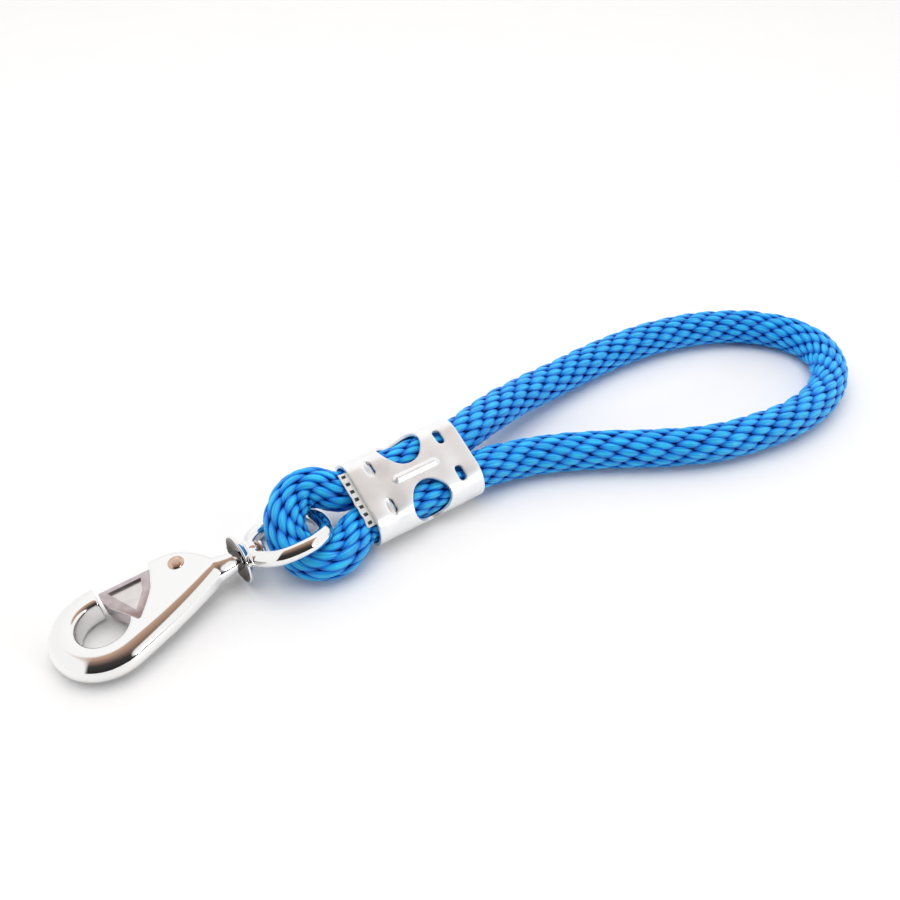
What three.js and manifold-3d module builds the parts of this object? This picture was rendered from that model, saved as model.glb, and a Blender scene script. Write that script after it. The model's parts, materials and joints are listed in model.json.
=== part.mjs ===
// A short rope handle: one length of solid-braid rope with a hand loop at one end and a small
// eye at the other, both held by a stamped rope clamp. A swivel snap hook hangs in the eye.
// Millimetres, +Z up, +X from the snap towards the hand loop. The handle lies on z = 0.

import * as THREE from 'three';
import { mergeVertices } from 'three/addons/utils/BufferGeometryUtils.js';
import Module from 'manifold-3d';

// ---------------------------------------------------------------- driving dimensions

const FRAME_SHIFT = new THREE.Vector3(46.1, -0.8, 0); // handle layout to the part's own origin
const GAP = 0.3;                 // running and seating clearance

const ROPE_DIAMETER = 12;        // half-inch solid braid, measured lightly squeezed
const ROPE_SIDES = 12;
const ROPE_STEPS = 80;

const CLAMP_LENGTH = 37;
const CLAMP_CENTRE = new THREE.Vector3(-1, -1.7, 10.45);
const CLAMP_ROLL = 26;           // degrees, far side up, as the tight eye twists it
const CLAMP_WALL = 1;
const LANE = 6.15;               // each run of rope lies this far from the clamp's middle
const CLAMP_INNER_WIDTH = 25;
const CLAMP_INNER_HEIGHT = 13.2; // leaves room above the rope for the label's tail
const CLAMP_SEAM = 0.8;          // open seam where the wrapped sheet meets underneath
const SIDE_WINDOW_RADIUS = 7;
const SIDE_WINDOW_ANGLE = 36;    // degrees from the clamp's top towards its side
const SLOT_X = 12.2;
const SLOT_Y = 6.65;
const SLOT_LENGTH = 5.2;
const SLOT_WIDTH = 2.6;
const RIB_LENGTH = 15;
const RIB_WIDTH = 1.6;
const RIB_HEIGHT = 0.8;

const LABEL_THICKNESS = 0.3;
const LABEL_SHOWN = 3.2;         // width of the strip that shows past the clamp's edge
const LABEL_TUCKED = 6.8;        // width held between the clamp and the rope
const LABEL_HALF_SPAN = 9;

const SNAP_ORIGIN = new THREE.Vector3(-55.9, 1.8, 7.65); // on the swivel axis, at the flange
const SNAP_YAW = -2;             // degrees about Z
const SNAP_RISE = 4;             // degrees the swivel axis rises towards the rope
const RING_ROLL = -26.5;           // degrees about the swivel axis, near side up

const RING_BAR = 4.6;
const FLANGE_RADIUS = 7.2;
const STUB_RADIUS = 3.3;
const STUB_END = 5.2;
const BORE_RADIUS = 2.1;
const STEM_RADIUS = 1.8;
const WASHER_RADIUS = 2.9;
const WASHER_THICKNESS = 0.6;
const PEEN_RADIUS = 2.5;
const PEEN_HEIGHT = 1.0;

const BODY_THICKNESS = 8;
const BODY_ROUND = 3.7;          // radius of the round outer edge
const HEAD_CENTRE = [39.3, -1.8];
const HEAD_FLAT_RADIUS = 10.9;
const THROAT_RADIUS = 7;
const SHANK_RADIUS = 2.6;
const GATE_THICKNESS = 5;
const CHEEK_SLOT = GATE_THICKNESS + 2 * GAP;
const PIVOT = [15.8, 5.8];
const PIN_RADIUS = 1.5;
const PIN_HEAD_RADIUS = 2.3;
const PIN_HEAD_HEIGHT = 0.9;
const HUB_RADIUS = 4;
const SPRING_WIRE = 0.6;
const SPRING_RADIUS = 2.45;
const SPRING_TURNS = 3;
const COIL_GAP = 0.1;
const NOTCH_HEIGHT = 3;
const NOTCH_RADIUS = 3.3;
const GATE_RECESS = 0.8;

const ROUND_STEPS = 32;

// ---------------------------------------------------------------- materials

const finish = (color, metalness, roughness) =>
  new THREE.MeshStandardMaterial({ color, metalness, roughness });

const ROPE_BLUE = finish(0x1c86e0, 0, 0.55);
const CLAMP_PLATE = finish(0xc4c6c8, 1, 0.32);
const LABEL_WHITE = finish(0xf2f2f0, 0, 0.8);
const CHROME = finish(0xd8d8da, 1, 0.08);
const GATE_PLATE = finish(0xb9adb0, 1, 0.3);
const PIN_STEEL = finish(0xc9b8a8, 1, 0.18);
const SPRING_STEEL = finish(0x8c8c90, 1, 0.35);

// ---------------------------------------------------------------- solid helpers

const wasm = await Module();
wasm.setup();

function toSolid(geometry) {
  const bare = geometry.index ? geometry.toNonIndexed() : geometry.clone();
  bare.deleteAttribute('normal');
  bare.deleteAttribute('uv');
  const merged = mergeVertices(bare, 1e-4);
  return new wasm.Manifold(new wasm.Mesh({
    numProp: 3,
    vertProperties: new Float32Array(merged.attributes.position.array),
    triVerts: new Uint32Array(merged.index.array),
  }));
}

function toGeometry(solid) {
  const mesh = solid.getMesh();
  const geometry = new THREE.BufferGeometry();
  geometry.setAttribute('position', new THREE.BufferAttribute(mesh.vertProperties.slice(), 3));
  geometry.setIndex(new THREE.BufferAttribute(mesh.triVerts.slice(), 1));
  geometry.computeVertexNormals();
  return geometry;
}

function named(name, solidOrGeometry, material) {
  const geometry = solidOrGeometry.isBufferGeometry ? solidOrGeometry : toGeometry(solidOrGeometry);
  const mesh = new THREE.Mesh(geometry, material);
  mesh.name = name;
  return mesh;
}

const radians = THREE.MathUtils.degToRad;

// A cylinder along Z, centred at (x, y, z).
function drum(radius, height, x, y, z = 0, steps = ROUND_STEPS) {
  const geometry = new THREE.CylinderGeometry(radius, radius, height, steps);
  return toSolid(geometry.rotateX(Math.PI / 2).translate(x, y, z));
}

// A flat shape extruded to a height and centred on z.
function slab(shape, height, z = 0) {
  const geometry = new THREE.ExtrudeGeometry(shape, {
    depth: height, bevelEnabled: false, curveSegments: 12,
  });
  return toSolid(geometry.translate(0, 0, z - height / 2));
}

function polygon(points) {
  return new THREE.Shape(points.map(([x, y]) => new THREE.Vector2(x, y)));
}

// A profile of [radius, height] pairs turned about the X axis.
function turnedAboutX(profile, steps = ROUND_STEPS) {
  const geometry = new THREE.LatheGeometry(profile.map(([r, x]) => new THREE.Vector2(r, x)), steps);
  return geometry.rotateZ(-Math.PI / 2);
}

// ---------------------------------------------------------------- rope

// The two lanes inside the clamp, as points of the handle's layout.
function lanePoint(x, side) {
  const drop = (CLAMP_INNER_HEIGHT - ROPE_DIAMETER) / 2 - GAP;
  const local = new THREE.Vector3(x, side * LANE, -drop);
  local.applyAxisAngle(new THREE.Vector3(1, 0, 0), radians(CLAMP_ROLL));
  return local.add(new THREE.Vector3(0, CLAMP_CENTRE.y, CLAMP_CENTRE.z));
}

// The eye and the hand loop, centre line points in the handle's layout.
const EYE_ROUTE = [
  [-28, -10.4, 6.6], [-32.8, -11.7, 6.05], [-37.4, -10.4, 6.05], [-40.6, -6.6, 6.8], [-41.9, -1.5, 9.1],
  [-40.7, 3.6, 11.8], [-37.2, 7.3, 13.6], [-32.5, 9.3, 15], [-27.4, 7.9, 14.8],
];
const LOOP_ROUTE = [
  [33, 7.8, 11.6], [50, 12.2, 9.2], [68, 14.5, 7.2], [88, 16.1, 6.2], [107, 15.5, 6.05],
  [124.4, 12.3, 6.05], [139.6, 6.4, 6.05], [152.2, -2.1, 6.05], [160.2, -14, 6.05],
  [161.2, -26, 6.05], [153, -37.5, 6.05], [138, -44.8, 6.05], [121, -46.3, 6.05],
  [104.1, -43.7, 6.05], [89.9, -39.4, 6.05], [78.1, -33.2, 6.05], [67.1, -26.3, 6.05],
  [56.1, -19.4, 6.05], [44.9, -13.4, 6.05], [33.3, -9, 6.3],
];
const ROPE_START_X = 11.4;
const ROPE_END_X = 12.4;

function makeRope() {
  const points = [
    lanePoint(ROPE_START_X, -1), lanePoint(-4, -1), lanePoint(-14, -1), lanePoint(-22.6, -1),
    ...EYE_ROUTE.map(([x, y, z]) => new THREE.Vector3(x, y, z)),
    lanePoint(-22.6, 1), lanePoint(-14, 1), lanePoint(0, 1), lanePoint(12, 1), lanePoint(19, 1),
    ...LOOP_ROUTE.map(([x, y, z]) => new THREE.Vector3(x, y, z)),
    lanePoint(19, -1), lanePoint(ROPE_END_X, -1),
  ];
  const route = new THREE.CatmullRomCurve3(points, false, 'centripetal');
  const section = new THREE.Shape();
  for (let i = 0; i < ROPE_SIDES; i += 1) {
    const angle = (2 * Math.PI * i) / ROPE_SIDES;
    const x = (ROPE_DIAMETER / 2) * Math.cos(angle);
    const y = (ROPE_DIAMETER / 2) * Math.sin(angle);
    if (i === 0) section.moveTo(x, y);
    else section.lineTo(x, y);
  }
  const geometry = new THREE.ExtrudeGeometry(section, {
    steps: ROPE_STEPS, extrudePath: route, bevelEnabled: false,
  });
  return named('rope', toSolid(geometry), ROPE_BLUE);
}

// ---------------------------------------------------------------- rope clamp and label

// A slot with round sides across the clamp, extruded along X.
function stadiumAlongX(width, height, length) {
  const r = height / 2;
  const reach = width / 2 - r;
  const shape = new THREE.Shape();
  shape.moveTo(-reach, -r);
  shape.lineTo(reach, -r);
  shape.absarc(reach, 0, r, -Math.PI / 2, Math.PI / 2, false);
  shape.lineTo(-reach, r);
  shape.absarc(-reach, 0, r, Math.PI / 2, 1.5 * Math.PI, false);
  const geometry = new THREE.ExtrudeGeometry(shape, {
    depth: length, bevelEnabled: false, curveSegments: 14,
  });
  geometry.translate(0, 0, -length / 2);
  geometry.rotateX(Math.PI / 2).rotateZ(Math.PI / 2);
  return toSolid(geometry);
}

function box(x0, x1, y0, y1, z0, z1) {
  const geometry = new THREE.BoxGeometry(x1 - x0, y1 - y0, z1 - z0);
  return toSolid(geometry.translate((x0 + x1) / 2, (y0 + y1) / 2, (z0 + z1) / 2));
}

// An upright oval, long across the clamp.
function oval(x, y, length, width, height) {
  const r = width / 2;
  const reach = length / 2 - r;
  const shape = new THREE.Shape();
  shape.absarc(x, y + reach, r, 0, Math.PI, false);
  shape.absarc(x, y - reach, r, Math.PI, 2 * Math.PI, false);
  return slab(shape, height, CLAMP_INNER_HEIGHT / 2 + CLAMP_WALL / 2);
}

function makeClamp() {
  const outerWidth = CLAMP_INNER_WIDTH + 2 * CLAMP_WALL;
  const outerHeight = CLAMP_INNER_HEIGHT + 2 * CLAMP_WALL;
  let sheet = stadiumAlongX(outerWidth, outerHeight, CLAMP_LENGTH)
    .subtract(stadiumAlongX(CLAMP_INNER_WIDTH, CLAMP_INNER_HEIGHT, CLAMP_LENGTH + 2));

  const laneArc = (outerWidth - outerHeight) / 2;
  for (const side of [-1, 1]) {
    const window = new THREE.CylinderGeometry(
      SIDE_WINDOW_RADIUS, SIDE_WINDOW_RADIUS, outerHeight, ROUND_STEPS);
    window.rotateX(Math.PI / 2).translate(0, 0, outerHeight / 2);
    window.rotateX(-side * radians(SIDE_WINDOW_ANGLE)).translate(0, side * laneArc, 0);
    sheet = sheet.subtract(toSolid(window));
  }

  for (const side of [-1, 1]) {
    sheet = sheet.subtract(oval(SLOT_X, side * SLOT_Y, SLOT_LENGTH, SLOT_WIDTH, 2 * CLAMP_WALL));
    // At the eye end only a half-moon is cut, and its tongue stays in the sheet.
    const halfMoon = oval(-SLOT_X, side * SLOT_Y, SLOT_LENGTH, SLOT_WIDTH, 2 * CLAMP_WALL)
      .intersect(box(-SLOT_X, -SLOT_X + SLOT_WIDTH, -outerWidth, outerWidth, 0, outerHeight));
    sheet = sheet.subtract(halfMoon);
  }

  sheet = sheet.subtract(box(-CLAMP_LENGTH, CLAMP_LENGTH, 2, 2 + CLAMP_SEAM, -outerHeight, 0));

  const rib = new THREE.CapsuleGeometry(RIB_WIDTH / 2, RIB_LENGTH - RIB_WIDTH, 4, 12);
  rib.rotateZ(Math.PI / 2).translate(0, 0, outerHeight / 2 + RIB_HEIGHT - RIB_WIDTH / 2);
  sheet = sheet.add(toSolid(rib));
  return named('rope_clamp', sheet, CLAMP_PLATE);
}

function makeLabel() {
  const lift = GAP + LABEL_THICKNESS;
  const left = -CLAMP_LENGTH / 2 - LABEL_SHOWN;
  const right = -CLAMP_LENGTH / 2 + LABEL_TUCKED;
  const ceilingWidth = CLAMP_INNER_WIDTH - 2 * GAP;
  const ceilingHeight = CLAMP_INNER_HEIGHT - 2 * GAP;
  const strip = stadiumAlongX(ceilingWidth, ceilingHeight, 200)
    .subtract(stadiumAlongX(
      ceilingWidth - 2 * LABEL_THICKNESS, ceilingHeight - 2 * LABEL_THICKNESS, 210))
    .intersect(box(left, right, -LABEL_HALF_SPAN, LABEL_HALF_SPAN, lift, CLAMP_INNER_HEIGHT));
  return named('label_tab', strip, LABEL_WHITE);
}

// ---------------------------------------------------------------- swivel ring and washer
// The snap is drawn with its swivel axis along X, the flange at x = 0 and the hook towards -X.

function makeSwivelRing() {
  const hub = toSolid(turnedAboutX([
    [BORE_RADIUS, 0.5], [4.6, 0.5], [6.1, -0.3], [FLANGE_RADIUS, -1.0], [FLANGE_RADIUS + 0.1, -0.5],
    [6.2, 0.7], [4.9, 1.4], [STUB_RADIUS + 0.3, 2.0], [STUB_RADIUS, 3.0], [STUB_RADIUS - 0.1, STUB_END],
    [BORE_RADIUS, STUB_END], [BORE_RADIUS, 0.5],
  ]));
  const half = [
    [2.9, 1.4], [3.1, 4.6], [5.2, 9], [8.6, 12.5], [13, 13.9], [17.8, 13.9], [21.8, 11.8], [23.9, 7.4], [24.8, 0],
  ];
  const far = half.map(([x, y]) => new THREE.Vector3(x, y, 0));
  const near = half.slice(0, -1).reverse().map(([x, y]) => new THREE.Vector3(x, -y, 0));
  const path = new THREE.CatmullRomCurve3([...far, ...near], false, 'centripetal');
  const section = new THREE.Shape();
  section.absarc(0, 0, RING_BAR / 2, 0, 2 * Math.PI, false);
  const bar = toSolid(new THREE.ExtrudeGeometry(section, {
    steps: 56, extrudePath: path, bevelEnabled: false, curveSegments: 6,
  }));
  const bore = new THREE.CylinderGeometry(BORE_RADIUS, BORE_RADIUS, 20, ROUND_STEPS);
  bore.rotateZ(Math.PI / 2);
  const ring = hub.add(bar).subtract(toSolid(bore));
  return named('swivel_ring', ring, CHROME);
}

function makeWasher() {
  const start = STUB_END + GAP;
  const end = start + WASHER_THICKNESS;
  const washer = turnedAboutX([
    [BORE_RADIUS, start], [WASHER_RADIUS, start], [WASHER_RADIUS, end],
    [BORE_RADIUS, end], [BORE_RADIUS, start],
  ]);
  return named('swivel_washer', toSolid(washer), PIN_STEEL);
}

// ---------------------------------------------------------------- hook body
// Outlines are in [distance from the flange, distance to the far side], mirrored in X to place.

const fromFlange = ([u, v]) => [-u, v];

function bodyOutline() {
  const [cx, cy] = HEAD_CENTRE;
  const shape = new THREE.Shape();
  shape.moveTo(-8.5, 1.0);
  shape.lineTo(-8.5, -1.6);
  shape.bezierCurveTo(-15, -4.6, -21, -8.2, -cx + 7.2, cy - HEAD_FLAT_RADIUS + 1.7);
  const start = Math.atan2(-HEAD_FLAT_RADIUS + 1.7, 7.2);
  shape.absarc(-cx, cy, HEAD_FLAT_RADIUS, start, Math.PI / 2 + 0.1, true);
  shape.lineTo(-22, 9.1);
  shape.bezierCurveTo(-15.5, 9.6, -12.5, 8.2, -8.5, 1.0);
  return shape;
}

function throatOutline() {
  return polygon([
    [38.2, 22], [37.8, 9.1], [37.9, 6], [37.7, 3.4], [36.9, 2.4], [32, -4], [30.6, -6.4], [30.2, -6.2],
    [27.2, -2.2], [24.7, 1.7], [22.7, 8.2], [22.2, 22],
  ].map(fromFlange));
}

function slotOutline() {
  return polygon([
    [36, 22], [36, -6], [31, -8.2], [27.6, -9.8], [25.6, -9.6], [22, -6.4], [18.5, -2.4],
    [13.5, 0.9], [11.3, 3.4], [10.9, 7], [11.5, 22],
  ].map(fromFlange));
}

function makeHookBody() {
  const flatDepth = BODY_THICKNESS - 2 * BODY_ROUND;
  const plate = new THREE.ExtrudeGeometry(bodyOutline(), {
    depth: flatDepth, bevelEnabled: true, bevelSize: BODY_ROUND, bevelThickness: BODY_ROUND,
    bevelSegments: 4, curveSegments: 20,
  });
  plate.translate(0, 0, -flatDepth / 2);
  const shank = turnedAboutX([
    [0, -16.5], [3.6, -16], [3.2, -9], [SHANK_RADIUS, -3.2], [SHANK_RADIUS + 0.4, -1.6],
    [SHANK_RADIUS + 0.4, 0.2], [STEM_RADIUS, 0.2], [STEM_RADIUS, 6.5],
    [PEEN_RADIUS, 6.5], [PEEN_RADIUS * 0.85, 6.5 + PEEN_HEIGHT * 0.6], [0, 6.5 + PEEN_HEIGHT],
  ], 24);
  const [cx, cy] = HEAD_CENTRE;
  const body = toSolid(plate)
    .add(toSolid(shank))
    .subtract(drum(THROAT_RADIUS, 20, -cx, cy))
    .subtract(slab(throatOutline(), 20))
    .subtract(slab(slotOutline(), CHEEK_SLOT))
    .subtract(drum(PIN_RADIUS + GAP, 20, -PIVOT[0], PIVOT[1]));
  return named('hook_body', body, CHROME);
}

// ---------------------------------------------------------------- gate, pin and spring

function gateOutline() {
  const [px, py] = PIVOT;
  const shape = new THREE.Shape();
  shape.moveTo(-px, py + HUB_RADIUS);
  shape.absarc(-px, py, HUB_RADIUS, Math.PI / 2, -Math.PI * 0.62, true);
  shape.lineTo(-24.5, -3.0);
  shape.lineTo(-28.6, -5.5);
  shape.lineTo(-30.7, -5.4);
  shape.lineTo(-36.2, 3.1);
  shape.lineTo(-37.05, 5.6);
  shape.lineTo(-37.2, 9.6);
  shape.lineTo(-22, 9.6);
  return shape;
}

function makeGate() {
  const [px, py] = PIVOT;
  const recess = polygon([[35.0, 8.0], [25.6, 8.0], [26.6, 3.6], [30.2, -1.8]].map(fromFlange));
  let gate = slab(gateOutline(), GATE_THICKNESS)
    .subtract(slab(recess, GATE_RECESS, GATE_THICKNESS / 2))
    .subtract(slab(recess, GATE_RECESS, -GATE_THICKNESS / 2))
    .subtract(drum(NOTCH_RADIUS, NOTCH_HEIGHT, -px, py));
  // The notch opens towards the shank and along the gate, so that the spring's tails pass.
  const rearWay = polygon([[px, py - 3.2], [px - 6, py - 6], [px - 6, py + 6], [px, py + 3.2]]);
  const frontWay = polygon([[px, py + 3.2], [px + 6.5, py + 5], [px + 6.5, py - 1], [px, py - 3.2]]);
  for (const way of [rearWay, frontWay]) {
    const points = way.getPoints().map(({ x, y }) => new THREE.Vector2(-x, y));
    gate = gate.subtract(slab(new THREE.Shape(points), NOTCH_HEIGHT));
  }
  gate = gate.subtract(drum(PIN_RADIUS + GAP, 20, -px, py));
  return named('gate', gate, GATE_PLATE);
}

function makeGatePin() {
  const half = BODY_THICKNESS / 2 + 0.1;
  const dome = half + PIN_HEAD_HEIGHT;
  const profile = [
    [0, -dome], [PIN_HEAD_RADIUS * 0.7, -dome + 0.35], [PIN_HEAD_RADIUS, -half],
    [PIN_RADIUS, -half], [PIN_RADIUS, half], [PIN_HEAD_RADIUS, half],
    [PIN_HEAD_RADIUS * 0.7, dome - 0.35], [0, dome],
  ].map(([r, z]) => new THREE.Vector2(r, z));
  const pin = new THREE.LatheGeometry(profile, 24);
  pin.rotateX(Math.PI / 2).translate(-PIVOT[0], PIVOT[1], 0);
  return named('gate_pin', toSolid(pin), PIN_STEEL);
}

function makeSpring() {
  const [px, py] = PIVOT;
  const pitch = SPRING_WIRE + COIL_GAP;
  const bottom = (-SPRING_TURNS * pitch) / 2;
  const points = [];
  points.push(new THREE.Vector3(-px + SPRING_RADIUS, py - 3.2, bottom));
  for (let i = 0; i <= SPRING_TURNS * 12; i += 1) {
    const angle = (2 * Math.PI * i) / 12;
    points.push(new THREE.Vector3(
      -px + SPRING_RADIUS * Math.cos(angle), py + SPRING_RADIUS * Math.sin(angle),
      bottom + (pitch * i) / 12));
  }
  points.push(new THREE.Vector3(-px + SPRING_RADIUS, py + 3.2, -bottom));
  const route = new THREE.CatmullRomCurve3(points, false, 'centripetal');
  const section = new THREE.Shape();
  section.absarc(0, 0, SPRING_WIRE / 2, 0, 2 * Math.PI, false);
  const spring = new THREE.ExtrudeGeometry(section, {
    steps: 60, extrudePath: route, bevelEnabled: false, curveSegments: 4,
  });
  return named('gate_spring', toSolid(spring), SPRING_STEEL);
}

// ---------------------------------------------------------------- assembly

const clampGroup = new THREE.Group();
clampGroup.add(makeClamp(), makeLabel());
clampGroup.position.copy(CLAMP_CENTRE);
clampGroup.rotation.x = radians(CLAMP_ROLL);

const ringGroup = new THREE.Group();
ringGroup.add(makeSwivelRing(), makeWasher());
ringGroup.rotation.x = radians(RING_ROLL);

const snapGroup = new THREE.Group();
snapGroup.add(ringGroup, makeHookBody(), makeGate(), makeGatePin(), makeSpring());
snapGroup.position.copy(SNAP_ORIGIN);
snapGroup.rotation.order = 'ZYX';
snapGroup.rotation.z = radians(SNAP_YAW);
snapGroup.rotation.y = -radians(SNAP_RISE);

const handle = new THREE.Group();
handle.add(makeRope(), clampGroup, snapGroup);
handle.position.copy(FRAME_SHIFT);
handle.updateMatrixWorld(true);

export default handle;
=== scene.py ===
import json
import math
import bpy
import numpy as np
from mathutils import Matrix, Vector
from mathutils.geometry import delaunay_2d_cdt
from mathutils.kdtree import KDTree


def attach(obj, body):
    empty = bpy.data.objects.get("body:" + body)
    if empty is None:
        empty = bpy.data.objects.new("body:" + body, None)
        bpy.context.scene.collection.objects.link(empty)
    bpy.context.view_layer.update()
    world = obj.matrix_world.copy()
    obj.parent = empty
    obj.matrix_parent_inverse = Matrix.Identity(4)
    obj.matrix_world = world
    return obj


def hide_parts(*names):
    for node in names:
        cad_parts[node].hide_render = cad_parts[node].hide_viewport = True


# Looks for the rope handle: braided rope, plated clamp, label tape and chromed swivel snap.
# Each piece is modelled in millimetres in its own place, and then seated in the frame.

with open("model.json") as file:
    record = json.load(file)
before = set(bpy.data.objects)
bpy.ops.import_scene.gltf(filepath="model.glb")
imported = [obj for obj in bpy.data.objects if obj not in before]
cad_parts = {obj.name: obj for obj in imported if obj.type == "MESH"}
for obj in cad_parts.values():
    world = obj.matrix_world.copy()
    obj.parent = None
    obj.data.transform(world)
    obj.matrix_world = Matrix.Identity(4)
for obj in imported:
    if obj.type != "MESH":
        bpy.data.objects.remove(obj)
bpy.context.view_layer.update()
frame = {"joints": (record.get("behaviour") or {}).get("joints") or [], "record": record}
MM = 0.001
scene = bpy.context.scene

# ---------------------------------------------------------------- places, from the frame

joints = {joint["name"]: joint for joint in frame["joints"]}
mounts = {mount["name"]: mount for mount in frame["record"]["mounts"]}


def axes(origin, x, z):
    """A place whose X and Z axes are given, as a matrix in metres."""
    x, z = Vector(x).normalized(), Vector(z).normalized()
    matrix = Matrix((x, z.cross(x), z)).transposed().to_4x4()
    matrix.translation = Vector(origin)
    return matrix


swivel, swing, pivot = joints["swivel_spin"], joints["eye_swing"], joints["gate_pivot"]
SNAP = axes(swivel["pos_m"], swivel["axis"], pivot["axis"])     # X along the swivel, Z across the hook
RING = axes(swivel["pos_m"], swivel["axis"], swing["axis"])     # Z square to the ring
CLAMP_MOUNT = (-12.2, 0, 7.6)                                   # the clamp mount, in the clamp's own mm
CLAMP = axes((0, 0, 0), (1, 0, 0), mounts["clamp_top"]["axis"])
CLAMP.translation = Vector(mounts["clamp_top"]["pos_m"]) - CLAMP @ (Vector(CLAMP_MOUNT) * MM)
PIVOT = (SNAP.inverted() @ Vector(pivot["pos_m"])) / MM

# ---------------------------------------------------------------- camera

CAMERA_HEADING = math.radians(-35.2)
CAMERA_PITCH = math.radians(48)
CAMERA_PLACE = (-0.0581, -0.1696, 0.1993)
SENSOR_AND_LENS = 36      # mm: the lens is as long as the picture is wide


def make_camera():
    data = bpy.data.cameras.new("camera")
    data.sensor_width = SENSOR_AND_LENS
    data.lens = SENSOR_AND_LENS
    data.clip_start = 0.01
    camera = bpy.data.objects.new("camera", data)
    camera.location = CAMERA_PLACE
    camera.rotation_euler = (CAMERA_PITCH, 0, CAMERA_HEADING)
    scene.collection.objects.link(camera)
    scene.camera = camera


make_camera()

# ---------------------------------------------------------------- mesh tools


def new_piece(name, vertices, faces):
    """A smooth mesh object, still in the millimetres of its own place."""
    mesh = bpy.data.meshes.new(name)
    mesh.from_pydata([tuple(v) for v in vertices], [], [tuple(f) for f in faces])
    mesh.shade_smooth()
    obj = bpy.data.objects.new(name, mesh)
    scene.collection.objects.link(obj)
    return obj


def bake(obj):
    """Applies the object's modifiers."""
    graph = bpy.context.evaluated_depsgraph_get()
    mesh = bpy.data.meshes.new_from_object(obj.evaluated_get(graph))
    obj.modifiers.clear()
    old, obj.data = obj.data, mesh
    bpy.data.meshes.remove(old)
    return obj


def boolean(obj, tool, operation="DIFFERENCE"):
    modifier = obj.modifiers.new("boolean", "BOOLEAN")
    modifier.operation = operation
    modifier.solver = "EXACT"
    modifier.object = tool
    bake(obj)
    bpy.data.objects.remove(tool)
    return obj


def cast(obj, voxel, passes):
    """Melts the shells into one skin with soft fillets, as a polished casting has."""
    remesh = obj.modifiers.new("remesh", "REMESH")
    remesh.mode = "VOXEL"
    remesh.voxel_size = voxel
    remesh.use_smooth_shade = True
    smooth = obj.modifiers.new("smooth", "SMOOTH")
    smooth.factor = 0.5
    smooth.iterations = passes
    return bake(obj)


def rounded(obj, width, segments=3, angle=35):
    bevel = obj.modifiers.new("bevel", "BEVEL")
    bevel.width = width
    bevel.segments = segments
    bevel.limit_method = "ANGLE"
    bevel.angle_limit = math.radians(angle)
    bevel.harden_normals = False
    return bake(obj)


def thickened(obj, thickness, offset):
    """Gives a sheet its thickness: offset -1 keeps its outer face, 0 its middle."""
    solid = obj.modifiers.new("thickness", "SOLIDIFY")
    solid.thickness = thickness
    solid.offset = offset
    return bake(obj)


def creased(obj, angle=35):
    obj.data.shade_smooth()
    obj.data.set_sharp_from_angle(angle=math.radians(angle))
    return obj


def seat(obj, place):
    """Moves the mesh from its own millimetres to its place in the frame."""
    obj.data.transform(place @ Matrix.Scale(MM, 4))
    return obj


def catmull(points, per=16):
    """A centripetal Catmull-Rom curve through the points."""
    points = np.array(points, float)
    full = np.vstack((2 * points[0] - points[1], points, 2 * points[-1] - points[-2]))
    out = []
    for p0, p1, p2, p3 in zip(full, full[1:], full[2:], full[3:]):
        t1 = np.linalg.norm(p1 - p0) ** 0.5
        t2 = t1 + np.linalg.norm(p2 - p1) ** 0.5
        t3 = t2 + np.linalg.norm(p3 - p2) ** 0.5
        for t in np.linspace(t1, t2, per, endpoint=False):
            a1 = (t1 - t) / t1 * p0 + t / t1 * p1
            a2 = (t2 - t) / (t2 - t1) * p1 + (t - t1) / (t2 - t1) * p2
            a3 = (t3 - t) / (t3 - t2) * p2 + (t - t2) / (t3 - t2) * p3
            b1 = (t2 - t) / t2 * a1 + t / t2 * a2
            b2 = (t3 - t) / (t3 - t1) * a2 + (t - t1) / (t3 - t1) * a3
            out.append((t2 - t) / (t2 - t1) * b1 + (t - t1) / (t2 - t1) * b2)
    out.append(points[-1])
    return np.array(out)


def spaced(points, step):
    """The same line with points an equal step apart, and the arc length at each."""
    along = np.concatenate(([0], np.cumsum(np.linalg.norm(np.diff(points, axis=0), axis=1))))
    count = max(2, int(round(along[-1] / step)) + 1)
    wanted = np.linspace(0, along[-1], count)
    return np.column_stack([np.interp(wanted, along, points[:, k]) for k in range(3)]), wanted


def sweep_frames(points):
    """Tangents, and two square directions carried along the line without twist."""
    tangent = np.gradient(points, axis=0)
    tangent /= np.linalg.norm(tangent, axis=1)[:, None]
    side = np.cross(tangent[0], (0, 0, 1.0))
    sides = []
    for t in tangent:
        side = side - t * side.dot(t)
        side = side / np.linalg.norm(side)
        sides.append(side)
    sides = np.array(sides)
    return tangent, sides, np.cross(tangent, sides)


def tube(points, radii, sides=24):
    """Vertices and faces of a closed round bar along the points."""
    _, right, up = sweep_frames(np.array(points, float))
    turn = 2 * math.pi * np.arange(sides) / sides
    radii = np.broadcast_to(radii, len(points))
    vertices = []
    for p, r, a, b in zip(points, radii, right, up):
        vertices.extend(p + r * (math.cos(w) * a + math.sin(w) * b) for w in turn)
    faces = []
    for i in range(len(points) - 1):
        for j in range(sides):
            k = (j + 1) % sides
            faces.append((i * sides + j, i * sides + k, (i + 1) * sides + k, (i + 1) * sides + j))
    faces.append(range(sides - 1, -1, -1))
    faces.append(range((len(points) - 1) * sides, len(points) * sides))
    return vertices, faces


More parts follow.
